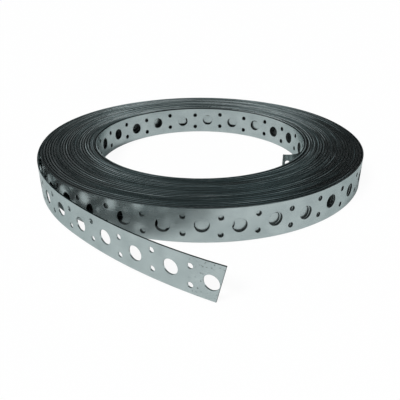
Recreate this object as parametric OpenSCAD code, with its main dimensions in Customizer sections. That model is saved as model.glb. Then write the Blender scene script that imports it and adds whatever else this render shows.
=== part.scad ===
// Roll of perforated metal strap, lying on its turns' edges.
// One long strap is wound into a flat roll. Its outer end springs away from the
// roll as a free end, and its inner end curls a little way into the bore.
// Millimetres, +Z up, with the roll's axis on Z and the floor at Z = 0.

/* [Strap] */
// Width of the strap, which is the height of the roll
strap_w = 20; // [16:0.5:30]
// Thickness of the strap
strap_t = 0.8; // [0.5:0.05:1.2]

/* [Roll] */
// Inside diameter of the roll
bore_d = 145; // [110:1:240]
// Number of turns in the roll
turns = 43; // [20:1:70]
// Gap between neighbouring turns
turn_gap = 0.08; // [0.02:0.01:0.2]
// Rounding of the strap's edges, which widens the groove between two turns
edge_round = 0.1; // [0.05:0.01:0.2]
// Depth to which the groove between two turns shows on the roll's ends
groove_depth = 0.5; // [0.2:0.05:1]

/* [Holes] */
// Diameter of the large holes on the strap's centre line
large_d = 8; // [4:0.1:10]
// Diameter of the small holes, which stand in pairs between the large ones
small_d = 3; // [2:0.1:4]
// Distance between the two small holes of a pair, across the strap
pair_spacing = 10; // [8:0.1:12]
// Distance from one large hole to the next along the strap
hole_pitch = 20.7; // [17:0.1:30]
// How far each set of holes is punched below or above the centre line, in turn
hole_stagger = 0.4; // [0:0.05:0.6]

/* [Free end] */
// Direction from the roll's axis to the point where the free end leaves it
root_angle = 180.5; // [150:0.5:210]
// Length of the free end, from that point to the middle of its cut
free_length = 208; // [150:1:260]
// How much wider than the roll the free end's first arc has sprung
root_spring = 33; // [12:1:60]
// Angle through which the first arc turns
root_arc_angle = 41.5; // [25:0.5:50]
// How much wider than the roll the free end's second arc has sprung
tip_spring = 180; // [90:5:300]
// Slant of the cut across the strap's end
cut_angle = 12.5; // [0:0.5:25]
// Metal left between the last large hole and the cut
end_land = 0.4; // [0.3:0.05:2]

/* [Inner end] */
// Direction from the roll's axis to the point where the inner end leaves the bore's wall
curl_root_angle = -23.5; // [-40:0.5:0]
// Outside radius of the curl
curl_r = 12; // [8:0.5:20]
// Angle through which the curl turns
curl_angle = 82; // [40:1:110]
// Distance from the end of the curl to its pair of small holes
curl_end_to_pair = 3.1; // [2.2:0.1:5]

/* [Hidden] */
$fn = 120;
galvanised = [0.66, 0.70, 0.70];

// Both ends' roots sit this far below the roll's surface, so that they rise out of it
tail_sink = 0.1;
curl_sink = 0.05;
// How far a hole's cutter passes the face that it comes out of
cut_over = 0.1;
// How far the cutters of the roll's own holes stand out of its surface
wall_cut_out = 0.3;
groove_w = turn_gap + 2 * edge_round;

turn_pitch = strap_t + turn_gap;
bore_r = bore_d / 2;
roll_r = bore_r + turns * turn_pitch;

function degrees(arc, radius) = arc / radius * 180 / PI;
function length_of(angle, radius) = angle * radius * PI / 180;

// The free end's outer face runs along two arcs that meet smoothly
root_arc_r = roll_r + root_spring;
tip_arc_r = roll_r + tip_spring;
root_arc_length = length_of(root_arc_angle, root_arc_r);
cut_overhang = strap_w / 2 * tan(cut_angle);
tip_arc_angle = degrees(free_length + 2 * cut_overhang + 1 - root_arc_length, tip_arc_r);

// Hole sets are numbered from the free end: set 0 holds the last large hole
last_hole_lift = -hole_stagger;
last_hole = free_length
    - (large_d / 2 + end_land - last_hole_lift * sin(cut_angle)) / cos(cut_angle);
// Past the root the wedge behind the free end is closed up to here
wedge_start = sqrt(2 * (strap_t + tail_sink + 2 * wall_cut_out) / (1 / roll_r - 1 / root_arc_r))
    + large_d / 2;
wall_holes_end = -(2 * PI * roll_r - wedge_start);

// The curl's path is measured along the middle of the strap
curl_length = length_of(curl_angle, curl_r - strap_t / 2);
first_curl_hole = curl_end_to_pair + hole_pitch / 2;
inner_turn_length = 2 * PI * (bore_r + strap_t / 2);

// The first arc's centre, with +X towards the place where the free end's two arcs meet
module root_arc_frame() {
    rotate(root_angle) translate([roll_r - tail_sink - root_arc_r, 0, 0]) rotate(root_arc_angle) children();
}

// The second arc's centre, with +X the same way
module tip_arc_frame() {
    root_arc_frame() translate([root_arc_r - tip_arc_r, 0, 0]) children();
}

// The curl's centre, with +X towards the place where it leaves the bore's wall
module curl_frame() {
    rotate(curl_root_angle) translate([bore_r + strap_t + curl_sink - curl_r, 0, 0]) children();
}

// Puts a shape on the free end's outer face, s along it, with +X out of the face and +Y towards the tip
module on_tail(s) {
    past_joint = s - root_arc_length;
    if (past_joint <= 0)
        root_arc_frame() rotate(degrees(past_joint, root_arc_r)) translate([root_arc_r, 0, 0]) children();
    else
        tip_arc_frame() rotate(degrees(past_joint, tip_arc_r)) translate([tip_arc_r, 0, 0]) children();
}

// Puts a shape on the roll's outer wall, with s measured from the free end's root
module on_wall(s) {
    rotate(root_angle + degrees(s, roll_r)) translate([roll_r, 0, 0]) children();
}

// Puts a shape on the strap's inner face near its inner end, s from that end, with +X out of the face
module on_inner(s) {
    past_curl = s - curl_length;
    if (past_curl <= 0)
        curl_frame() rotate(degrees(past_curl, curl_r - strap_t / 2))
            translate([curl_r - strap_t, 0, 0]) rotate(180) children();
    else
        rotate(curl_root_angle + degrees(past_curl, bore_r + strap_t / 2))
            translate([bore_r, 0, 0]) rotate(180) children();
}

// One round cutter that reaches depth below a face and out above it
module drill(d, depth, out, height) {
    translate([-depth, 0, height]) rotate([0, 90, 0]) cylinder(d = d, h = depth + out);
}

module large_hole(depth, out, lift) {
    drill(large_d, depth, out, strap_w / 2 + lift);
}

module small_pair(depth, out, lift) {
    for (side = [-1, 1])
        drill(small_d, depth, out, strap_w / 2 + lift + side * pair_spacing / 2);
}

// The sets of holes are punched low and high in turn
function lift_of(set) = (set % 2 == 0 ? -1 : 1) * hole_stagger;

module tail_holes() {
    depth = strap_t + cut_over;
    for (set = [0 : floor(last_hole / hole_pitch)])
        on_tail(last_hole - set * hole_pitch) large_hole(depth, 1, lift_of(set));
    for (set = [0 : floor(last_hole / hole_pitch - 0.5)])
        on_tail(last_hole - (set + 0.5) * hole_pitch) small_pair(depth, 1, lift_of(set));
}

// The outermost turn's holes, with the turn below as their floor
module outer_wall_holes() {
    for (set = [floor(last_hole / hole_pitch) + 1 : floor((last_hole - wall_holes_end) / hole_pitch)])
        on_wall(last_hole - set * hole_pitch) large_hole(strap_t, wall_cut_out, lift_of(set));
    for (set = [floor(last_hole / hole_pitch + 0.5) : floor((last_hole - wall_holes_end) / hole_pitch - 0.5)])
        on_wall(last_hole - (set + 0.5) * hole_pitch) small_pair(strap_t, wall_cut_out, lift_of(set));
}

// The innermost turn's holes and the curl's, which go right through where the strap stands free
module inner_holes() {
    sets = floor((inner_turn_length + curl_length - first_curl_hole) / hole_pitch) - 1;
    for (set = [0 : sets])
        on_inner(first_curl_hole + set * hole_pitch) large_hole(strap_t + cut_over, 1, lift_of(set));
    for (set = [0 : sets])
        on_inner(curl_end_to_pair + set * hole_pitch) small_pair(strap_t + cut_over, 1, lift_of(set));
}

// The grooves between neighbouring turns, on both ends of the roll
module turn_grooves() {
    for (turn = [1 : turns - 1], face = [0, 1])
        translate([0, 0, face * strap_w]) mirror([0, 0, face]) groove(bore_r + turn * turn_pitch);
}

module groove(r) {
    mouth = groove_w / 2 * (1 + cut_over / groove_depth);
    rotate_extrude()
        polygon([[r, groove_depth], [r - mouth, -cut_over], [r + mouth, -cut_over]]);
}

// A stretch of strap seen from above, bent about the origin: outer is its convex face's radius
module bent_strap(outer, from, to) {
    reach = 2 * outer;
    intersection() {
        difference() {
            circle(outer);
            circle(outer - strap_t);
        }
        polygon([[0, 0], reach * [cos(from), sin(from)], reach * [cos(to), sin(to)]]);
    }
}

// The ring that the turns make together, with its bore, seen from above
module turns_ring() {
    difference() {
        circle(roll_r);
        circle(bore_r);
    }
}

module tail() {
    root_arc_frame() bent_strap(root_arc_r, -root_arc_angle, 0);
    tip_arc_frame() bent_strap(tip_arc_r, 0, tip_arc_angle);
}

module curl() {
    curl_frame() bent_strap(curl_r, -curl_angle, 0);
}

// Everything past the slanting cut at the free end
module end_cut() {
    depth = 6 * strap_t;
    size = 2 * strap_w;
    on_tail(free_length) translate([-depth / 2, 0, strap_w / 2]) rotate([-cut_angle, 0, 0])
        translate([0, 0, -size / 2]) cube([depth, size, size]);
}

module strap() {
    color(galvanised) difference() {
        linear_extrude(strap_w) {
            turns_ring();
            tail();
            curl();
        }
        end_cut();
        turn_grooves();
        outer_wall_holes();
        tail_holes();
        inner_holes();
    }
}

strap();
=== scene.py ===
"""Looks of the roll of perforated metal strap.

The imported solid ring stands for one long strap. Here it is that strap: 43 turns wound one inside
the other, with every hole that can be seen, a sprung free end and a curled inner end. Sizes are in
millimetres and degrees until they reach Blender. Along the strap, a place is the distance from the
middle of the slanting cut, on the outer face. Turns are counted inwards from the free end's root.
"""

import math

import bpy
import numpy as np
from mathutils import Euler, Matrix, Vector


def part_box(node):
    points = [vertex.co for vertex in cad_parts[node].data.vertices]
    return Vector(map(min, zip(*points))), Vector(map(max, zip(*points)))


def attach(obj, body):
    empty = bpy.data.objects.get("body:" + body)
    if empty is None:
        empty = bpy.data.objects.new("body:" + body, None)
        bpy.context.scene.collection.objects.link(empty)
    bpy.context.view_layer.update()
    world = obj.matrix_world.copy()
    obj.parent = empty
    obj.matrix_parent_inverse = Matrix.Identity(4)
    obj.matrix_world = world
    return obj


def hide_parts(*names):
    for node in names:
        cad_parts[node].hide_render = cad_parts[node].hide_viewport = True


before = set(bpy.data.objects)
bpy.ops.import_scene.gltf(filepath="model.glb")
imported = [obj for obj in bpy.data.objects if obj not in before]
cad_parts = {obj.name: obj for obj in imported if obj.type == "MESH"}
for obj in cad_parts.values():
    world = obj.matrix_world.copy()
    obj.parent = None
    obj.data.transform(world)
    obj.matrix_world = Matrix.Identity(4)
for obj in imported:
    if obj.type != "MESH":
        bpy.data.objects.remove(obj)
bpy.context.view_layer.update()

MM = 0.001
STRAP_LOW, STRAP_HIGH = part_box("strap")

# ---- the CAD part's sizes: the strap and the roll, the free end, the curl and the holes
WIDTH = (STRAP_HIGH.z - STRAP_LOW.z) / MM
THICK = 0.8
ROLL_R = STRAP_HIGH.x / MM
BORE_R = 72.5
ROOT_ANGLE = 180.5
FREE_LENGTH = 208.0
ROOT_SPRING = 33.0
ROOT_ARC_R = ROLL_R + ROOT_SPRING
ROOT_ARC_ANGLE = 41.5
TIP_SPRING = 180.0
TIP_ARC_R = ROLL_R + TIP_SPRING
TAIL_SINK = 0.1
CUT_ANGLE = 12.5
CURL_ROOT_ANGLE = -23.5
CURL_R = 12.0
CURL_ANGLE = 82.0
CURL_SINK = 0.05
LARGE_R = 4.0
SMALL_R = 1.5
PAIR_SPACING = 10.0
HOLE_PITCH = 20.7
HOLE_STAGGER = 0.4
LAST_HOLE = 4.6
CURL_END_TO_PAIR = 3.1

# ---- how finely it is made
# An edge's rounding reaches EDGE across the strap and BEVEL into its thickness
EDGE = 0.08
BEVEL = 0.17
# The rounding of a hole's mouth in the roll's walls, and the share of it where it faces both ways
RIM = 0.3
RIM_MIDDLE = 0.3
# The perforated turns at the outside and the inside of the roll: those between them are plain
OUTER_TURNS = 4
INNER_TURNS = 3.567
# Steps of the path on the free end (mm), on the spiral and on the plain turns (degrees)
TAIL_STEP = 0.5
PATH_STEP = 0.25
PLAIN_STEP = 3.0
CURL_POINTS = 165
# The path starts this far past the middle of the cut, so that it covers the slant
TIP_SPARE = 4
# Faces up the strap, and along the lower and upper side of a hole's surroundings
LEVELS = 10
LARGE_ACROSS, SMALL_ACROSS = 6, 3
# Half the length of strap that a hole's surroundings take up
LARGE_SPAN, SMALL_SPAN = 5.4, 2.3
LONGEST_STRIP, SHORTEST_STRIP = 3.6, 1e-6
# The surroundings of a large hole before this place reach as far as the cut
TIP_REACH = 6
# Points of a pattern that agree to this many decimals are one vertex
POINT_DECIMALS = 4


def direction(angle):
    """The unit vectors that point along angles given in degrees, seen from above."""
    a = np.radians(angle)
    return np.stack([np.cos(a), np.sin(a)], -1)


def smooth(x, low, high):
    t = np.clip((x - low) / (high - low), 0, 1)
    return t * t * (3 - 2 * t)


def bump(angle, centre, width):
    """A soft rise round one direction of the roll, in degrees."""
    off = (np.asarray(angle) - centre + 180) % 360 - 180
    return np.exp(-((off / width) ** 2))


def rises(angle, table):
    """Soft rises together, each as (how far, direction of its middle, width)."""
    return sum(size * bump(angle, centre, width) for size, centre, width in table)


def waves(turned, table):
    """Waves together, each as (size, waves for each turn, degrees by which it is ahead)."""
    return sum(size * np.sin(np.radians(turned * rate + ahead)) for size, rate, ahead in table)


# ---- the strap's path, seen from above
SPIRAL_R = ROLL_R - TAIL_SINK
CURL_START_R = BORE_R + THICK + CURL_SINK
WHOLE_TURNS = 42
TURNS = WHOLE_TURNS + (ROOT_ANGLE - CURL_ROOT_ANGLE) / 360
AROUND_ROLL = 2 * math.pi * ROLL_R
AROUND_BORE = 2 * math.pi * BORE_R
FRONT_WAY, BACK_WAY = -90, 90

# Gaps inside the first turn and outside the last one, and the turns over which they open
OUTER_GAP, INNER_GAP = 0.06, 0.5
GAP_OPENS = (0.95, 1.3)
# The first turn's gap widens at the front, where it leaves the turns inside it a little tighter,
# and the last turn's gap widens at the back
FRONT_GAPS = [(0.7, 276, 15), (0.35, 225, 25)]
FRONT_GAP_TURNS = 40
BACK_GAP = [(1.3, 90, 60)]
# The turns from here inwards lie loose at the left, and a little at the front right
LOOSE_FROM = 36
SLACK = [(0.9, 172, 42), (0.2, 318, 35)]
SLACK_STARTS = (0, 3)
# The outer turns are sprung outwards at the front's left and right, and less so further in
SPRUNG_LEFT = [(1.2, 229, 20)]
SPRUNG_RIGHT = 1.5
SPRUNG_RIGHT_RISES, SPRUNG_RIGHT_FALLS = (205, 315), (332, 378)
SPRING_STARTS = (0.2, 0.4)
# Directions are counted on from here, so that those on both sides of the right stay in order
COUNTED_FROM = 100
# No turn is quite round, and at the left some turns lie closer together than others
WANDER = [(0.01, 3.37, 0), (0.008, 7.61, 40)]
BUNCHED, TURNS_IN_BUNCH = 0.015, 2.6
BUNCH_AT, BUNCHES_START = (180, 45), (2, 4)


def spiral_radius(turned):
    """Radius of the outer face after turning that many degrees inwards from the free end's root.
    The inner turns lie loose at the left, which leaves the others there a little tighter."""
    turn = turned / 360
    angle = ROOT_ANGLE - turned
    front_gap = rises(angle, FRONT_GAPS) * np.maximum(0, 1 - turn / FRONT_GAP_TURNS)
    outer_gap = (OUTER_GAP + front_gap) * smooth(turn, *GAP_OPENS)
    inner_gap = INNER_GAP + rises(angle, BACK_GAP) * turn / TURNS
    inner_gap = inner_gap * smooth(turn, TURNS - GAP_OPENS[1], TURNS - GAP_OPENS[0])
    inmost = CURL_START_R + OUTER_GAP + INNER_GAP
    regular = SPIRAL_R + (inmost - SPIRAL_R) * turn / TURNS - outer_gap - inner_gap

    loose = np.where(turn < LOOSE_FROM, turn / LOOSE_FROM, 1 - smooth(turn, LOOSE_FROM, TURNS))
    slack = loose * smooth(turn, *SLACK_STARTS) * rises(angle, SLACK)

    counted = (angle - COUNTED_FROM) % 360 + COUNTED_FROM
    at_right = smooth(counted, *SPRUNG_RIGHT_RISES) * (1 - smooth(counted, *SPRUNG_RIGHT_FALLS))
    sprung = rises(angle, SPRUNG_LEFT) + SPRUNG_RIGHT * at_right
    sprung = sprung * smooth(turn, *SPRING_STARTS) * (1 - smooth(turn, 1, LOOSE_FROM))

    bunched = BUNCHED * np.sin(2 * math.pi * turn / TURNS_IN_BUNCH) * bump(angle, *BUNCH_AT)
    bunched = bunched * smooth(turn, *BUNCHES_START)
    ends = smooth(turn, 0, 1) * smooth(TURNS - turn, 0, 1)
    return regular + slack + sprung + (bunched + waves(turned, WANDER)) * ends


def strap_path():
    """The outer face along the whole strap: places, points, outward normals, and degrees turned."""
    tail = np.arange(FREE_LENGTH + TIP_SPARE, 0, -TAIL_STEP)
    root_length = math.radians(ROOT_ARC_ANGLE) * ROOT_ARC_R
    root_centre = direction(ROOT_ANGLE) * (SPIRAL_R - ROOT_ARC_R)
    joint = ROOT_ANGLE + ROOT_ARC_ANGLE
    tip_centre = root_centre + direction(joint) * (ROOT_ARC_R - TIP_ARC_R)
    on_root = (tail < root_length)[:, None]
    root_way = direction(ROOT_ANGLE + np.degrees(tail / ROOT_ARC_R))
    tip_way = direction(joint + np.degrees((tail - root_length) / TIP_ARC_R))
    root_points = root_centre + root_way * ROOT_ARC_R
    tip_points = tip_centre + tip_way * TIP_ARC_R
    tail_points = np.where(on_root, root_points, tip_points)
    tail_normals = np.where(on_root, root_way, tip_way)

    turned = np.arange(0, TURNS * 360, PATH_STEP)
    way = direction(ROOT_ANGLE - turned)
    points = way * spiral_radius(turned)[:, None]

    curl = np.linspace(0, CURL_ANGLE, CURL_POINTS)
    curl_centre = direction(CURL_ROOT_ANGLE) * (CURL_START_R - CURL_R)
    curl_way = direction(CURL_ROOT_ANGLE - curl)
    curl_points = curl_centre + curl_way * CURL_R

    all_points = np.concatenate([tail_points, points, curl_points])
    normals = np.concatenate([tail_normals, way, curl_way])
    turned = np.concatenate([np.zeros(len(tail)), turned, np.full(len(curl), TURNS * 360)])
    steps = np.linalg.norm(np.diff(all_points, axis=0), axis=1)
    along = np.concatenate([[0], np.cumsum(steps)]) - TIP_SPARE
    return along, all_points, normals, turned


ALONG, POINTS, NORMALS, TURNED = strap_path()
ROOT_AT = FREE_LENGTH
CURL_AT = float(np.interp(TURNS * 360 - PATH_STEP, TURNED, ALONG))
END_AT = float(ALONG[-1])


def at_turned(turned):
    """Place along the strap after turning that many degrees inwards from the root."""
    spiral = (TURNED > 0) & (TURNED < TURNS * 360)
    return np.interp(turned, TURNED[spiral], ALONG[spiral])


# Turns that stand higher for a short way at the front: (turn, half that way's length in turns)
RAISED_TURNS = [(31.64, 0.1), (33.68, 0.08), (29.65, 0.06)]
RAISED_BY = 0.4
# The turns aren't quite level. Towards the two ends of the strap they are, over these lengths
HEIGHT_WAVES = [(1, 0.731, 20), (1, 1.713, 75), (1, 2.437, 0), (0.6, 5.19, 10)]
WAVE_HEIGHT = 0.055
LEVEL_TIP, LEVEL_INNER_END = (60, 700), (0, 400)


def height(place):
    """How high each place of the strap's lower edge lies."""
    turned = np.interp(place, ALONG, TURNED)
    deepest = sum(size for size, rate, ahead in HEIGHT_WAVES)
    uneven = WAVE_HEIGHT * (waves(turned, HEIGHT_WAVES) + deepest)
    uneven = uneven * smooth(place, *LEVEL_TIP) * smooth(END_AT - place, *LEVEL_INNER_END)
    off_middle = [(turned / 360 - turn) / half for turn, half in RAISED_TURNS]
    raised = sum(RAISED_BY * np.exp(-(off**2)) for off in off_middle)
    return raised + uneven


# ---- where the holes are
# Holes off an even pitch on the front of the outer wall: (how far, where along the wall, width)
DRIFTS = [(1.25, -12, 20), (-3.2, 75, 38)]
# Large holes in the outermost turn, in each turn below it, and in each of the inner turns
FIRST_TURN_HOLES, NEXT_TURN_HOLES, INNER_TURN_HOLES = 33, 34, 21
# Holes are counted this many turns past the perforated ones, at so many places
TURNS_PAST = 0.2
OUTER_SAMPLES, INNER_SAMPLES = 40000, 30000


def drift_outside(arc):
    """How far the outer wall's holes stand from an even pitch. Arc is measured along the wall."""
    return sum(size * np.exp(-(((arc - middle) / width) ** 2)) for size, middle, width in DRIFTS)


def outer_holes():
    """Places of the holes on the free end and the outer turns, counted from the one by the cut.
    In each turn the holes slip against those of the turn outside it, as on a real roll."""
    front = math.radians(ROOT_ANGLE - FRONT_WAY) * ROLL_R
    down = np.linspace(-FREE_LENGTH, AROUND_ROLL * (OUTER_TURNS + TURNS_PAST), OUTER_SAMPLES)
    last_slip = AROUND_ROLL - FIRST_TURN_HOLES * HOLE_PITCH
    # Along the wall from its front: how far holes slip in the second turn, and how much more below it
    slip_arc = [front - AROUND_ROLL, -60, -27, -7, 13, 40, 60, 81, 118, front]
    slip_by = [HOLE_PITCH, 16.5, 14.8, 12.6, 12.9, 18.8, 18.2, 20.2, HOLE_PITCH, last_slip]
    deeper_by = [0, 0, 0, 0, -1, -7.5, -6.5, -0.4, 0, 0]

    def number(way, extra):
        return (FREE_LENGTH - LAST_HOLE + way + extra) / HOLE_PITCH

    turn = np.floor(np.maximum(down, 0) / AROUND_ROLL)
    within = np.where(down > 0, down - turn * AROUND_ROLL, down)
    arc = front - within
    slip = np.interp(arc, slip_arc, slip_by)
    slip = slip + np.where(turn >= 2, np.interp(arc, slip_arc, deeper_by), 0)
    first = number(within, drift_outside(arc))
    above = FIRST_TURN_HOLES + NEXT_TURN_HOLES * (turn - 1)
    later = number(within + slip, drift_outside(arc - slip)) + above
    numbers = np.where(turn < 1, first, later)
    count = np.arange(0, int(numbers[-1]) * 2) / 2
    spot = np.interp(count, numbers, down)
    place = np.where(spot < 0, ROOT_AT + spot, at_turned(np.degrees(np.maximum(spot, 0) / ROLL_R)))
    return place, count


def inner_holes():
    """Places of the holes on the curl and the inner turns, counted from the curl's last large hole."""
    back = math.radians(BACK_WAY - CURL_ROOT_ANGLE) * BORE_R
    curl_mid = math.radians(CURL_ANGLE) * (CURL_R - THICK / 2)
    pitch = HOLE_PITCH * BORE_R / (BORE_R + THICK / 2)
    # Along the wall from its back: how far holes stand from an even pitch, and slip in the next turns
    drift_arc = [back - AROUND_BORE, -140, -101, -38, -15, 20, 49, 88, 110, back - 2]
    drift_by = [0, 0, -0.9, 0.1, 2.2, 4.0, 5.3, 3.6, 3.4, 0]
    slip_arc = [back - AROUND_BORE, -101, -58, -38, -15, 5, 27.6, 49, 69, 110, back]
    slip_by = [0, -1, 0, 1.6, 6.0, 9.4, 11.6, 15.7, 18.7, 21.2, 23.3]
    out = np.linspace(-curl_mid, AROUND_BORE * (INNER_TURNS + TURNS_PAST), INNER_SAMPLES)

    def number(way):
        arc = back - way
        drift = np.interp(arc, drift_arc, drift_by) * (way > 0)
        return (way + drift + curl_mid - CURL_END_TO_PAIR) / pitch - 0.5

    turn = np.floor(np.maximum(out, 0) / AROUND_BORE)
    within = np.where(out > 0, out - turn * AROUND_BORE, out)
    slip = np.interp(back - within, slip_arc, slip_by)
    numbers = np.where(turn < 1, number(within), number(within + slip) + INNER_TURN_HOLES * turn)
    count = np.arange(-1, int(numbers[-1]) * 2) / 2
    spot = np.interp(count, numbers, out)
    in_curl = END_AT - (spot + curl_mid) * CURL_R / (CURL_R - THICK / 2)
    in_roll = at_turned(TURNS * 360 - np.degrees(np.maximum(spot, 0) / BORE_R))
    return np.where(spot < 0, in_curl, in_roll), count


# ---- one stretch of strap as a flat pattern: place along it, height, depth from its outer face
FRONT, BACK = (1.0, 0.0, 0.0), (-1.0, 0.0, 0.0)
UP, DOWN = (0.0, 0.0, 1.0), (0.0, 0.0, -1.0)
# The third and fourth slots carry painted shade: one nearly black, one darkened under rows of small
# holes
FACE_SLOT, EDGE_SLOT, SHADE_SLOT, SHADED_COVERED_SLOT = 0, 1, 2, 3
LEVEL_HEIGHTS = EDGE + (WIDTH - 2 * EDGE) * np.arange(LEVELS + 1) / LEVELS


class Pattern:
    """Four-sided faces of a flat pattern, with the normal that each corner shades with.
    Hidden is the side of the strap that the next turn covers, or None where both are."""

    def __init__(self, hidden):
        self.hidden = hidden
        self.corners, self.normals, self.slots = [], [], []

    def face_slot(self, normal, place):
        """Faces between turns get painted shade, as little light gets in there: hidden sides are nearly
        black, and the faces behind the inmost turn are darkened under its rows of small holes.
        """
        if normal == self.hidden and ROOT_AT < place < CURL_AT:
            return SHADE_SLOT
        return SHADED_COVERED_SLOT if self.hidden == FRONT and not self.exposed(place) else FACE_SLOT

    def exposed(self, place):
        """Whether a place is in the outer two turns, in the innermost turn or on a free end."""
        if self.hidden == BACK:
            return place < ROOT_AT + 2 * AROUND_ROLL
        return place > CURL_AT - 2 * math.pi * (BORE_R + THICK)

    def band(self, first, second, first_normal, second_normal, slot, closed=False):
        """Faces between two rows of points, given as (count, 3) arrays."""
        first, second = np.asarray(first, float), np.asarray(second, float)
        na = np.broadcast_to(np.asarray(first_normal, float), first.shape)
        nb = np.broadcast_to(np.asarray(second_normal, float), second.shape)
        if closed:
            first, second, na, nb = (np.concatenate([x, x[:1]]) for x in (first, second, na, nb))
        self.corners.append(np.stack([first[:-1], first[1:], second[1:], second[:-1]], 1))
        self.normals.append(np.stack([na[:-1], na[1:], nb[1:], nb[:-1]], 1))
        self.slots.append(np.full(len(first) - 1, slot))

    def edges(self, places_low, places_high):
        """The strap's two long edges: each is a rounding, the slit edge and a rounding."""
        # In the roll the edges' roundings get nearly black painted shade, for the grooves between turns
        shaded_groove_slot = SHADE_SLOT if ROOT_AT < places_low[0] < CURL_AT else EDGE_SLOT
        lower, upper = (places_low, 0.0, EDGE, DOWN), (places_high, WIDTH, -EDGE, UP)
        for places, z, inset, normal in (lower, upper):
            same = np.ones(len(places))

            def row(depth, lift):
                return np.stack([places, same * (z + lift), same * depth], 1)

            self.band(row(0, inset), row(BEVEL, 0), FRONT, normal, shaded_groove_slot)
            self.band(row(BEVEL, 0), row(THICK - BEVEL, 0), normal, normal, EDGE_SLOT)
            self.band(row(THICK - BEVEL, 0), row(THICK, inset), normal, BACK, shaded_groove_slot)

    def strip(self, low, high):
        """Plain strap between two columns of places, one place for each level."""
        def column(places, depth):
            return np.stack([places, LEVEL_HEIGHTS[: len(places)], np.full(len(places), depth)], 1)

        for depth, normal in ((0.0, FRONT), (THICK, BACK)):
            slot = self.face_slot(normal, low[0])
            self.band(column(low, depth), column(high, depth), normal, normal, slot)
        self.edges(np.array([low[0], high[0]]), np.array([low[-1], high[-1]]))

    def holed(self, left, right, across, place, centre, radius, levels):
        """A hole's surroundings between two columns of places, from one level to another."""
        start, stop = levels
        # In the roll a hole's wall gets nearly black painted shade, and so does its rounded mouth
        # except on exposed turns
        wall_slot = FACE_SLOT if place < ROOT_AT else SHADE_SLOT
        rim_slot = FACE_SLOT if self.exposed(place) else SHADE_SLOT
        outer_rim = RIM if place > ROOT_AT and self.hidden == BACK else EDGE
        inner_rim = RIM if place < CURL_AT and self.hidden == FRONT else EDGE
        heights = LEVEL_HEIGHTS[start : stop + 1]
        left, right = left[start : stop + 1], right[start : stop + 1]
        share = np.linspace(0, 1, across + 1)
        low_side = left[0] + (right[0] - left[0]) * share
        high_side = left[-1] + (right[-1] - left[-1]) * share
        rim = np.concatenate(
            [
                np.stack([low_side[:-1], np.full(across, heights[0])], 1),
                np.stack([right[:-1], heights[:-1]], 1),
                np.stack([high_side[:0:-1], np.full(across, heights[-1])], 1),
                np.stack([left[:0:-1], heights[:0:-1]], 1),
            ]
        )
        count = len(rim)
        turn = 2 * math.pi * (np.arange(count) - across / 2) / count - math.pi / 2
        spoke = np.stack([np.cos(turn), np.sin(turn)], 1)
        middle = np.array([place, centre])

        def row(out, depth):
            """The ring of points that stands out from the hole's wall by some distance."""
            return np.concatenate([middle + spoke * (radius + out), np.full((count, 1), depth)], 1)

        def face(depth):
            return np.concatenate([rim, np.full((count, 1), depth)], 1)

        inward = np.concatenate([np.zeros((count, 1)), -spoke], 1)
        sides = ((0.0, 1, outer_rim, np.array(FRONT)), (THICK, -1, inner_rim, np.array(BACK)))
        for depth, way, rim_size, out in sides:
            mouth = row(rim_size, depth)
            rolled = row(RIM_MIDDLE * rim_size, depth + way * RIM_MIDDLE * rim_size)
            wall = row(0, depth + way * rim_size)
            turned_in = inward + out
            self.band(face(depth), mouth, out, out, self.face_slot(tuple(out), place), True)
            self.band(mouth, rolled, out, turned_in, rim_slot, True)
            self.band(rolled, wall, turned_in, inward, wall_slot, True)
        self.band(row(0, outer_rim), row(0, THICK - inner_rim), inward, inward, wall_slot, True)
        return low_side, high_side

    def large_hole(self, left, right, place, lift):
        centre = WIDTH / 2 + lift
        self.edges(*self.holed(left, right, LARGE_ACROSS, place, centre, LARGE_R, (0, LEVELS)))

    def small_holes(self, left, right, place, lift):
        low, high = (WIDTH - PAIR_SPACING) / 2 + lift, (WIDTH + PAIR_SPACING) / 2 + lift
        middle = LEVELS // 2
        low_side, _ = self.holed(left, right, SMALL_ACROSS, place, low, SMALL_R, (0, middle))
        _, high_side = self.holed(left, right, SMALL_ACROSS, place, high, SMALL_R, (middle, LEVELS))
        self.edges(low_side, high_side)

    def joint(self, place, way, heights):
        """Closes the strap where another piece goes on. Way is -1 at the stretch's outer end."""
        normal = (0.0, float(way), 0.0)

        def column(depth):
            return [[place, z, depth] for z in heights]

        # The joint's faces get nearly black painted shade, as they lie inside the strap
        self.band(column(0), column(THICK), normal, normal, SHADE_SLOT)
        for z, level in ((0.0, heights[0]), (WIDTH, heights[-1])):
            flat = [[place, z, BEVEL], [place, z, THICK - BEVEL]]
            self.band([[place, level, 0], [place, level, THICK]], flat, normal, normal, SHADE_SLOT)

    def end(self, places, way):
        """The cut across the strap, rounded as its edges are. Way is -1 at the free end."""
        normal = (0.0, float(way), 0.0)
        rounded = places - way * EDGE

        def column(at, depth):
            return np.stack([at, LEVEL_HEIGHTS[: len(at)], np.full(len(at), depth)], 1)

        self.band(column(rounded, 0), column(places, BEVEL), FRONT, normal, EDGE_SLOT)
        self.band(column(places, BEVEL), column(places, THICK - BEVEL), normal, normal, EDGE_SLOT)
        self.band(column(places, THICK - BEVEL), column(rounded, THICK), normal, BACK, EDGE_SLOT)
        for k, z, flat in ((0, 0.0, DOWN), (-1, WIDTH, UP)):
            level = LEVEL_HEIGHTS[k]
            ends = [[rounded[k], z, BEVEL], [rounded[k], z, THICK - BEVEL]]
            caps = [[places[k], level, BEVEL], [places[k], level, THICK - BEVEL]]
            outer, inner = [rounded[k], level, 0], [rounded[k], level, THICK]
            self.band(caps, ends, normal, flat, EDGE_SLOT)
            self.band([outer, caps[0]], [outer, ends[0]], FRONT, flat, EDGE_SLOT)
            self.band([caps[1], inner], [ends[1], inner], BACK, flat, EDGE_SLOT)


def even(place):
    """An upright column of places."""
    return np.full(LEVELS + 1, float(place))


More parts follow.
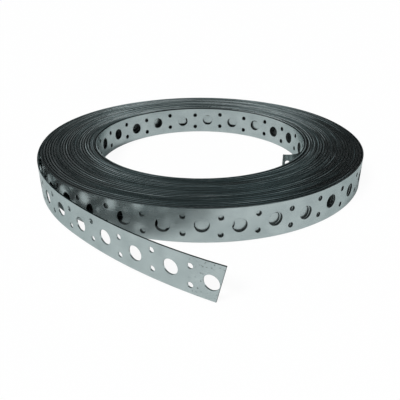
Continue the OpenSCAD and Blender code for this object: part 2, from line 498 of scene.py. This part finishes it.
def fill_between(pattern, low, high):
    """Plain strips, short enough to bend smoothly."""
    length = float(np.mean(high - low))
    if length < SHORTEST_STRIP:
        return
    count = max(1, math.ceil(length / LONGEST_STRIP))
    for k in range(count):
        pattern.strip(low + (high - low) * k / count, low + (high - low) * (k + 1) / count)


def perforated(start, stop, places, counts, numbering, hidden):
    """A pattern of strap from one column of places to another, with its holes. Large holes have
    whole counts, and pairs of small ones the halves between. A large hole and a pair next to it are
    punched low or high together, in turn: numbering rounds the pair's count to its large hole's."""
    pattern = Pattern(hidden)
    edge_now = start
    for place, count in sorted(zip(places, counts)):
        large = float(count).is_integer()
        half_length = LARGE_SPAN if large else SMALL_SPAN
        at_tip = large and place < TIP_REACH
        before_start = place - half_length < np.mean(start) and not at_tip
        if before_start or place + half_length > np.mean(stop):
            continue
        left = edge_now if at_tip else even(place - half_length)
        right = even(place + half_length)
        lift = HOLE_STAGGER * (-1 if numbering(count) % 2 == 0 else 1)
        fill_between(pattern, edge_now, left)
        make = pattern.large_hole if large else pattern.small_holes
        make(left, right, place, lift)
        edge_now = right
    fill_between(pattern, edge_now, stop)
    return pattern


def plain(start_turned, stop_turned):
    """A pattern of strap without holes, made of a few long faces for each step of a turn."""
    steps = int(round((stop_turned - start_turned) / PLAIN_STEP))
    places = at_turned(np.linspace(start_turned, stop_turned, steps + 1))
    pattern = Pattern(None)
    low, high = np.full(len(places), EDGE), np.full(len(places), WIDTH - EDGE)
    for depth, normal in ((0.0, FRONT), (THICK, BACK)):
        rows = [np.stack([places, z, np.full(len(places), depth)], 1) for z in (low, high)]
        pattern.band(rows[0], rows[1], normal, normal, FACE_SLOT)
    pattern.edges(places, places)
    for place, way in ((places[0], -1), (places[-1], 1)):
        pattern.joint(place, way, (EDGE, WIDTH - EDGE))
    return pattern


# ---- from the flat pattern to a Blender mesh
# Texture coordinates for each millimetre along and across the strap
UV_PER_MM = 0.01


def wound(flat, turning):
    """Points of the flat pattern in space, or the directions in turning at those points."""
    place = flat[:, 0]
    normal = np.stack([np.interp(place, ALONG, NORMALS[:, k]) for k in (0, 1)], 1)
    normal /= np.linalg.norm(normal, axis=1)[:, None]
    if turning is not None:
        tangent = np.stack([normal[:, 1], -normal[:, 0]], 1)
        plan = normal * turning[:, :1] + tangent * turning[:, 1:2]
        return np.concatenate([plan, turning[:, 2:]], 1)
    point = np.stack([np.interp(place, ALONG, POINTS[:, k]) for k in (0, 1)], 1)
    point = point - normal * flat[:, 2:3]
    return np.concatenate([point, (flat[:, 1] + height(place))[:, None]], 1)


def build_piece(name, pattern, materials):
    """Winds a pattern up into a mesh, as a piece that stands for a stretch of the strap."""
    corners = np.concatenate(pattern.corners)
    normals = np.concatenate(pattern.normals)
    slots = np.concatenate(pattern.slots)
    flat = corners.reshape(-1, 3)
    rounded = np.round(flat, POINT_DECIMALS)
    _, first, index = np.unique(rounded, axis=0, return_index=True, return_inverse=True)
    index = index.reshape(-1, 4)
    vertices = wound(flat[first], None) * MM
    shading = normals.reshape(-1, 3)
    shading = shading / np.linalg.norm(shading, axis=1)[:, None]
    shading = wound(flat, shading).reshape(-1, 4, 3)

    quads = vertices[index]
    face_normal = np.cross(quads[:, 2] - quads[:, 0], quads[:, 3] - quads[:, 1])
    flip = np.einsum("ij,ij->i", face_normal, shading.mean(1)) < 0
    index[flip] = index[flip][:, ::-1]
    shading[flip] = shading[flip][:, ::-1]
    strap_uv = flat.reshape(-1, 4, 3)[:, :, :2].copy()
    strap_uv[flip] = strap_uv[flip][:, ::-1]

    faces, loop_normals, loop_uv, face_slots = [], [], [], []
    for quad, shade, uv, slot in zip(index.tolist(), shading, strap_uv, slots.tolist()):
        # Where two corners of a face are one vertex it is a triangle, or nothing at all
        keep = [k for k in range(4) if quad[k] != quad[k - 1]]
        if len(keep) < 3:
            continue
        faces.append([quad[k] for k in keep])
        loop_normals.append(shade[keep])
        loop_uv.append(uv[keep])
        face_slots.append(slot)

    mesh = bpy.data.meshes.new(name)
    mesh.from_pydata(vertices.tolist(), [], faces)
    mesh.polygons.foreach_set("material_index", face_slots)
    mesh.polygons.foreach_set("use_smooth", [True] * len(faces))
    uv_layer = mesh.uv_layers.new(name="strap")
    uv_layer.data.foreach_set("uv", (np.concatenate(loop_uv) * UV_PER_MM).ravel())
    for material in materials:
        mesh.materials.append(material)
    mesh.normals_split_custom_set(np.concatenate(loop_normals).tolist())
    piece = bpy.data.objects.new(name, mesh)
    bpy.context.scene.collection.objects.link(piece)
    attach(piece, "root")
    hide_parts("strap")


# ---- materials
# Noise lies mostly between the first two values, and often between the others
NOISE = (0.3, 0.7)
NOISE_MIDDLE = (0.35, 0.65)

# The strap's faces: a rolled grain along the strap, cloudy zinc, small spangles and scuffs near the tip
FACE_COLOURS = [(0.3, (0.345, 0.402, 0.403)), (0.7, (0.42, 0.481, 0.481))]
FACE_METALLIC, FACE_TINT = 0.9, (0.55, 0.6, 0.6, 1)
FACE_ROUGHNESS = (0.255, 0.275)
ROLLED_SCALE, ROLLED_STRETCH, ROLLED_LIGHT = 6.0, (1.0, 25.0, 1.0), (0.965, 1.03)
CLOUDY_SCALE = 9.0
SPANGLE_SCALE, SPANGLE_LIGHT = 210.0, (-0.05, 0.05)
SCUFF_SCALE, SCUFF_NOISE, SCUFF_DEPTH = 75.0, (0.645, 0.68), 0.8
# Scuffs fade out between these two places
SCUFFED_LENGTH = (10.0, 18.0)
GRAIN_BUMP, GRAIN_DEPTH = 0.006, 0.0002
# Painted shade between turns: it starts this far from the strap's middle and leaves this share of the
# light
SHADE_FROM, SHADED_LIGHT = (2.8, 3.4), 0.06

# The slit edges: each turn has its own tone, from dark to bright, partly at random and partly painted
# light and shade
EDGE_COLOURS = [
    (0.0, (0.022, 0.034, 0.034)),
    (0.45, (0.14, 0.18, 0.183)),
    (0.7, (0.42, 0.475, 0.48)),
    (1.0, (0.82, 0.87, 0.875)),
]
EDGE_TINT, EDGE_ROUGHNESS = (0.5, 0.55, 0.55, 1), 0.17
TONE_SCALE, TONE_NOISE = 1.1, (0.39, 0.61)
# Bands and streaks: (scale round the roll, scale across it, detail, how much they add to the tone)
BANDS = (1.0, 300.0, 2.0, 0.1)
STREAKS = (6.0, 1300.0, 1.0, 0.15)
# How much the noise, a wave of painted light and shade from turn to turn and the painted highlight on
# the raised turns each add to the tone
TONE_SHARE, PAINTED_WAVE_SHARE, RAISED_HIGHLIGHT_SHARE = 0.6, 1.2, 1.3
WAVES_IN_TURN = 0.46
# The part of a raised turn that gets the whole painted highlight
HIGHLIT_PART = 0.3
# How far edges lean in or out of the roll, most of all at its sides, from noise of their own
LEAN_SCALE, LEAN_OFFSET, TURN_TILT = 1.7, (7.3, 0, 0), 0.09
LEAN_SIDEWAYS = (2.1, 1, 0)

# Painted shade: the walls of the holes, and other places where little light gets in, are nearly black
# with a little torn noise
SHADED_WALL_COLOURS = [(0.35, (0.012, 0.016, 0.016)), (0.65, (0.05, 0.06, 0.06))]
WALL_SCALE, WALL_METALLIC, WALL_ROUGHNESS = 2500.0, 0.6, 0.5


def new_material(name):
    material = bpy.data.materials.new(name)
    material.use_nodes = True
    tree = material.node_tree
    tree.nodes.clear()
    output = tree.nodes.new("ShaderNodeOutputMaterial")
    shader = tree.nodes.new("ShaderNodeBsdfPrincipled")
    tree.links.new(shader.outputs["BSDF"], output.inputs["Surface"])
    return material, tree, shader


def plug(tree, value, socket):
    """Sets a socket to a number or to several, or links another socket to it."""
    if isinstance(value, (int, float, tuple)):
        socket.default_value = value
    else:
        tree.links.new(value, socket)


def noise(tree, vector, scale, detail):
    """Soft noise about 0.5."""
    node = tree.nodes.new("ShaderNodeTexNoise")
    node.inputs["Scale"].default_value = scale
    node.inputs["Detail"].default_value = detail
    tree.links.new(vector, node.inputs["Vector"])
    return node.outputs["Fac"]


def ramp(tree, value, stops):
    node = tree.nodes.new("ShaderNodeValToRGB")
    tree.links.new(value, node.inputs["Fac"])
    elements = node.color_ramp.elements
    while len(elements) < len(stops):
        elements.new(0.5)
    for element, (position, colour) in zip(elements, stops):
        element.position = position
        element.color = (*colour, 1)
    return node.outputs["Color"]


def span(tree, value, low, high, to_low, to_high):
    """Values from low to high become values from to_low to to_high, and stay between them."""
    node = tree.nodes.new("ShaderNodeMapRange")
    tree.links.new(value, node.inputs["Value"])
    for key, number in (("From Min", low), ("From Max", high), ("To Min", to_low), ("To Max", to_high)):
        node.inputs[key].default_value = number
    return node.outputs["Result"]


def arithmetic(tree, operation, first, second=0):
    node = tree.nodes.new("ShaderNodeMath")
    node.operation = operation
    plug(tree, first, node.inputs[0])
    plug(tree, second, node.inputs[1])
    return node.outputs["Value"]


def vector_maths(tree, operation, first, second=None):
    node = tree.nodes.new("ShaderNodeVectorMath")
    node.operation = operation
    plug(tree, first, node.inputs[0])
    if second is not None:
        plug(tree, second, node.inputs[1])
    return node.outputs["Value" if operation in ("LENGTH", "DOT_PRODUCT") else "Vector"]


def tinted(tree, colour, value):
    """A colour or direction made larger or smaller by a number."""
    node = tree.nodes.new("ShaderNodeVectorMath")
    node.operation = "SCALE"
    tree.links.new(colour, node.inputs[0])
    plug(tree, value, node.inputs["Scale"])
    return node.outputs["Vector"]


def strap_place(tree):
    """Texture coordinates along and across the strap."""
    uv = tree.nodes.new("ShaderNodeUVMap")
    uv.uv_map = "strap"
    return uv.outputs["UV"]


def add_bump(tree, shader, value):
    node = tree.nodes.new("ShaderNodeBump")
    node.inputs["Strength"].default_value = GRAIN_BUMP
    node.inputs["Distance"].default_value = GRAIN_DEPTH
    tree.links.new(value, node.inputs["Height"])
    tree.links.new(node.outputs["Normal"], shader.inputs["Normal"])


def galvanised_face(name, covered=False):
    """The strap's faces. Covered ones get painted shade under the next turn's rows of small holes."""
    material, tree, shader = new_material(name)
    place = strap_place(tree)
    stretched = tree.nodes.new("ShaderNodeMapping")
    stretched.inputs["Scale"].default_value = ROLLED_STRETCH
    tree.links.new(place, stretched.inputs["Vector"])
    rolled = noise(tree, stretched.outputs["Vector"], ROLLED_SCALE, detail=3.0)
    cloudy = noise(tree, place, CLOUDY_SCALE, detail=2.0)
    spangle = noise(tree, place, SPANGLE_SCALE, detail=2.0)
    scuff = noise(tree, place, SCUFF_SCALE, detail=2.0)
    rolled_light = span(tree, rolled, *NOISE, *ROLLED_LIGHT)
    light = arithmetic(tree, "ADD", rolled_light, span(tree, spangle, *NOISE, *SPANGLE_LIGHT))

    apart = tree.nodes.new("ShaderNodeSeparateXYZ")
    tree.links.new(place, apart.inputs["Vector"])
    along, across = apart.outputs["X"], apart.outputs["Y"]
    near, far = (length * UV_PER_MM for length in SCUFFED_LENGTH)
    near_tip = span(tree, along, near, far, 1.0, 0.0)
    scuffs = arithmetic(tree, "MULTIPLY", span(tree, scuff, *SCUFF_NOISE, 0.0, SCUFF_DEPTH), near_tip)
    light = arithmetic(tree, "MULTIPLY", light, arithmetic(tree, "SUBTRACT", 1.0, scuffs))
    if covered:
        # Painted shade: darker away from the strap's middle, under the rows of small holes
        middle = WIDTH / 2 * UV_PER_MM
        near, far = (distance * UV_PER_MM for distance in SHADE_FROM)
        off_middle = arithmetic(tree, "ABSOLUTE", arithmetic(tree, "SUBTRACT", across, middle))
        light = arithmetic(tree, "MULTIPLY", light, span(tree, off_middle, near, far, 1.0, SHADED_LIGHT))

    colour = ramp(tree, cloudy, FACE_COLOURS)
    tree.links.new(tinted(tree, colour, light), shader.inputs["Base Color"])
    tree.links.new(span(tree, rolled, *NOISE, *FACE_ROUGHNESS), shader.inputs["Roughness"])
    shader.inputs["Metallic"].default_value = FACE_METALLIC
    shader.inputs["Specular Tint"].default_value = FACE_TINT
    add_bump(tree, shader, rolled)
    return material


def round_the_roll(tree, way, radius, round_scale, out_scale):
    """Texture coordinates that follow the turns: slow to change round the roll and fast across it."""
    out = tree.nodes.new("ShaderNodeCombineXYZ")
    tree.links.new(arithmetic(tree, "MULTIPLY", radius, out_scale), out.inputs["Z"])
    return vector_maths(tree, "ADD", tinted(tree, way, round_scale), out.outputs["Vector"])


def turns_in(tree, along):
    """How many turns in from the free end's root a place is, with the turns taken as evenly spaced."""
    pitch = (SPIRAL_R - CURL_START_R) / TURNS
    place = arithmetic(tree, "DIVIDE", vector_maths(tree, "LENGTH", along), UV_PER_MM)
    wound_up = arithmetic(tree, "SUBTRACT", place, FREE_LENGTH)
    inside = arithmetic(tree, "MULTIPLY", wound_up, pitch / math.pi)
    radius = arithmetic(tree, "SQRT", arithmetic(tree, "SUBTRACT", SPIRAL_R**2, inside))
    return arithmetic(tree, "DIVIDE", arithmetic(tree, "SUBTRACT", SPIRAL_R, radius), pitch)


def edge_tone(tree, along, way, radius):
    """How bright the slit edges are: at random from turn to turn and in bands and streaks, with painted
    light and shade in a wave from turn to turn and a painted highlight on raised turns.
    """
    tone = span(tree, noise(tree, along, TONE_SCALE, detail=3.0), *TONE_NOISE, -1.0, 1.0)
    for round_scale, out_scale, detail, size in (BANDS, STREAKS):
        lines = noise(tree, round_the_roll(tree, way, radius, round_scale, out_scale), 1.0, detail)
        tone = arithmetic(tree, "ADD", tone, span(tree, lines, *NOISE_MIDDLE, -size, size))
    tone = arithmetic(tree, "MULTIPLY", tone, TONE_SHARE)
    # Painted light and shade: the tone rises and falls in a wave from turn to turn
    wave = arithmetic(tree, "MULTIPLY", turns_in(tree, along), 2 * math.pi * WAVES_IN_TURN)
    wave = arithmetic(tree, "MULTIPLY", arithmetic(tree, "SINE", wave), PAINTED_WAVE_SHARE)
    tone = arithmetic(tree, "ADD", tone, wave)
    # Painted highlight on the raised turns
    for turn, half in RAISED_TURNS:
        middle = float(at_turned(turn * 360)) * UV_PER_MM
        # A turn is nearly a millimetre thick, so this is about the raised turn's own radius
        reach = half * 2 * math.pi * (ROLL_R - turn) * UV_PER_MM
        off_middle = vector_maths(tree, "LENGTH", vector_maths(tree, "SUBTRACT", along, (middle, 0, 0)))
        painted_highlight = span(tree, off_middle, HIGHLIT_PART * reach, reach, RAISED_HIGHLIGHT_SHARE, 0.0)
        tone = arithmetic(tree, "ADD", tone, painted_highlight)
    return tone


def cut_edge():
    """The strap's slit edges: every turn has its own tone, partly painted light and shade, and leans a
    little.
    """
    material, tree, shader = new_material("cut_edge")
    place = tree.nodes.new("ShaderNodeTexCoord").outputs["Object"]
    flat = vector_maths(tree, "MULTIPLY", place, (1, 1, 0))
    way = vector_maths(tree, "NORMALIZE", flat)
    radius = vector_maths(tree, "LENGTH", flat)
    along = vector_maths(tree, "MULTIPLY", strap_place(tree), (1, 0, 0))
    tone = span(tree, edge_tone(tree, along, way, radius), -1.0, 1.0, 0.0, 1.0)
    tree.links.new(ramp(tree, tone, EDGE_COLOURS), shader.inputs["Base Color"])
    shader.inputs["Metallic"].default_value = 1.0
    shader.inputs["Specular Tint"].default_value = EDGE_TINT
    shader.inputs["Roughness"].default_value = EDGE_ROUGHNESS

    lean = noise(tree, vector_maths(tree, "ADD", along, LEAN_OFFSET), LEAN_SCALE, detail=3.0)
    tilt = tinted(tree, way, span(tree, lean, *NOISE, -TURN_TILT, TURN_TILT))
    tilt = vector_maths(tree, "MULTIPLY", tilt, LEAN_SIDEWAYS)
    geometry = tree.nodes.new("ShaderNodeNewGeometry")
    tilted = vector_maths(tree, "ADD", geometry.outputs["Normal"], tilt)
    tree.links.new(vector_maths(tree, "NORMALIZE", tilted), shader.inputs["Normal"])
    return material


def shaded_hole_wall():
    """Painted shade on the torn walls of the punched holes and on what lies deep between turns: nearly
    black, with a little torn noise.
    """
    material, tree, shader = new_material("shaded_hole_wall")
    place = tree.nodes.new("ShaderNodeTexCoord").outputs["Object"]
    torn = noise(tree, place, WALL_SCALE, detail=2.0)
    tree.links.new(ramp(tree, torn, SHADED_WALL_COLOURS), shader.inputs["Base Color"])
    shader.inputs["Metallic"].default_value = WALL_METALLIC
    shader.inputs["Roughness"].default_value = WALL_ROUGHNESS
    return material


# In the order of FACE_SLOT, EDGE_SLOT, SHADE_SLOT and SHADED_COVERED_SLOT
STRAP_MATERIALS = (
    galvanised_face("galvanised_face"),
    cut_edge(),
    shaded_hole_wall(),
    galvanised_face("shaded_covered_face", covered=True),
)

# ---- the pieces
tip_cut = (LEVEL_HEIGHTS - WIDTH / 2) * -math.tan(math.radians(CUT_ANGLE))
outer_stop = float(at_turned(OUTER_TURNS * 360.0))
inner_turned = (TURNS - INNER_TURNS) * 360.0
inner_start = float(at_turned(inner_turned))

outer_pattern = perforated(tip_cut + EDGE, even(outer_stop), *outer_holes(), math.floor, BACK)
outer_pattern.end(tip_cut, -1)
outer_pattern.joint(outer_stop, 1, LEVEL_HEIGHTS)
build_piece("strap_outer_turns", outer_pattern, STRAP_MATERIALS)

build_piece("strap_middle_turns", plain(OUTER_TURNS * 360.0, inner_turned), STRAP_MATERIALS)

inner_pattern = perforated(even(inner_start), even(END_AT - EDGE), *inner_holes(), math.ceil, FRONT)
inner_pattern.end(even(END_AT), 1)
inner_pattern.joint(inner_start, -1, LEVEL_HEIGHTS)
build_piece("strap_inner_turns", inner_pattern, STRAP_MATERIALS)


# ---- floor, light and camera
FLOOR_REACH, FLOOR_DROP = 6.0, 0.0002
FLOOR_WHITE, FLOOR_ROUGHNESS = (0.92, 0.92, 0.92, 1), 0.9
# The share of the floor's light that the camera sees as plain white
WASHED_OUT = 0.94

WORLD_STRENGTH = 2.0
# The backdrop's colour by the height of the direction, from level to nearly straight up
WORLD_HEIGHTS = [
    (0.0, (0.9, 0.9, 0.9)),
    (0.285, (0.95, 0.97, 0.98)),
    (0.34, (0.13, 0.165, 0.17)),
    (0.43, (0.06, 0.085, 0.09)),
    (0.6, (0.03, 0.05, 0.052)),
    (0.78, (0.03, 0.05, 0.052)),
    (0.9, (0.3, 0.33, 0.34)),
]
# Its brightness by the direction's share towards +X
WORLD_SIDES = [
    (-0.8, 1.5),
    (-0.6, 0.3),
    (-0.33, 0.14),
    (-0.25, 0.28),
    (-0.17, 1.7),
    (0.0, 0.9),
    (0.15, 1.9),
    (0.21, 0.9),
    (0.28, 0.03),
    (0.6, 0.1),
    (0.8, 1.5),
]
# One soft brighter spot: its direction, where it fades out, and how bright it is
SPOT_WAY, SPOT_EDGE, SPOT_LIGHT = (-0.22, 0.87, 0.44), 0.985, 0.05

CAMERA_SENSOR, CAMERA_LENS = 36.0, 40.825
CAMERA_AT = (0.0, -0.3104, 0.1265)
CAMERA_DOWN, CAMERA_TURN = 0.46985, 0.00169


def for_the_camera(tree, share, otherwise, white):
    """One shader for the camera's own rays, as far as share says, and another for all other rays."""
    is_camera = tree.nodes.new("ShaderNodeLightPath").outputs["Is Camera Ray"]
    mix = tree.nodes.new("ShaderNodeMixShader")
    tree.links.new(arithmetic(tree, "MULTIPLY", is_camera, share), mix.inputs["Fac"])
    tree.links.new(otherwise, mix.inputs[1])
    tree.links.new(white, mix.inputs[2])
    return mix.outputs["Shader"]


def white_floor():
    """White, and seen by the camera with most of its shadows washed out, as on a light table."""
    material, tree, shader = new_material("floor_white")
    shader.inputs["Base Color"].default_value = FLOOR_WHITE
    shader.inputs["Roughness"].default_value = FLOOR_ROUGHNESS
    glow = tree.nodes.new("ShaderNodeEmission").outputs["Emission"]
    mixed = for_the_camera(tree, WASHED_OUT, shader.outputs["BSDF"], glow)
    tree.links.new(mixed, tree.nodes["Material Output"].inputs["Surface"])
    return material


def floor():
    mesh = bpy.data.meshes.new("floor")
    corners = [(-1, -1), (1, -1), (1, 1), (-1, 1)]
    mesh.from_pydata([(FLOOR_REACH * x, FLOOR_REACH * y, 0) for x, y in corners], [], [(0, 1, 2, 3)])
    mesh.materials.append(white_floor())
    piece = bpy.data.objects.new("floor", mesh)
    piece.location.z = -FLOOR_DROP
    bpy.context.scene.collection.objects.link(piece)


def sun(name, azimuth, elevation, spread, strength):
    """A soft light from far away, unseen in reflections. Azimuth 0 is from the front, 90 from +X."""
    data = bpy.data.lights.new(name, "SUN")
    data.angle = math.radians(spread)
    data.energy = strength
    light = bpy.data.objects.new(name, data)
    light.visible_glossy = False
    light.rotation_euler = Euler((math.radians(90 - elevation), 0, math.radians(azimuth)))
    bpy.context.scene.collection.objects.link(light)


def studio_world():
    """A pale backdrop round the horizon under a dark ceiling, with brighter and darker sides.
    The camera itself sees plain white behind the floor."""
    studio = bpy.data.worlds.new("studio")
    studio.use_nodes = True
    tree = studio.node_tree
    background = tree.nodes["Background"]
    way = tree.nodes.new("ShaderNodeTexCoord").outputs["Generated"]
    apart = tree.nodes.new("ShaderNodeSeparateXYZ")
    tree.links.new(way, apart.inputs["Vector"])
    across = span(tree, apart.outputs["X"], -1.0, 1.0, 0.0, 1.0)
    side_stops = [((x + 1) / 2, (light / WORLD_STRENGTH,) * 3) for x, light in WORLD_SIDES]
    by_side = ramp(tree, across, side_stops)
    by_height = ramp(tree, apart.outputs["Z"], WORLD_HEIGHTS)
    near_spot = vector_maths(tree, "DOT_PRODUCT", way, SPOT_WAY)
    spot = span(tree, near_spot, SPOT_EDGE, 1.0, 0.0, SPOT_LIGHT)
    light = vector_maths(tree, "ADD", vector_maths(tree, "MULTIPLY", by_height, by_side), spot)
    tree.links.new(light, background.inputs["Color"])
    background.inputs["Strength"].default_value = WORLD_STRENGTH
    behind = tree.nodes.new("ShaderNodeBackground")
    behind.inputs["Color"].default_value = (1.0, 1.0, 1.0, 1.0)
    mixed = for_the_camera(tree, 1.0, background.outputs["Background"], behind.outputs["Background"])
    tree.links.new(mixed, tree.nodes["World Output"].inputs["Surface"])
    bpy.context.scene.world = studio


def camera():
    """Looks down on the front of the roll, turned a trace to the left."""
    data = bpy.data.cameras.new("camera")
    data.sensor_width = CAMERA_SENSOR
    data.lens = CAMERA_LENS
    view = bpy.data.objects.new("camera", data)
    view.location = CAMERA_AT
    view.rotation_euler = Euler((math.pi / 2 - CAMERA_DOWN, 0, CAMERA_TURN))
    bpy.context.scene.collection.objects.link(view)
    bpy.context.scene.camera = view


floor()
studio_world()
sun("key", azimuth=-40, elevation=48, spread=20, strength=3.0)
sun("fill", azimuth=-20, elevation=60, spread=80, strength=0.5)
camera()
bpy.context.scene.view_settings.view_transform = "Standard"
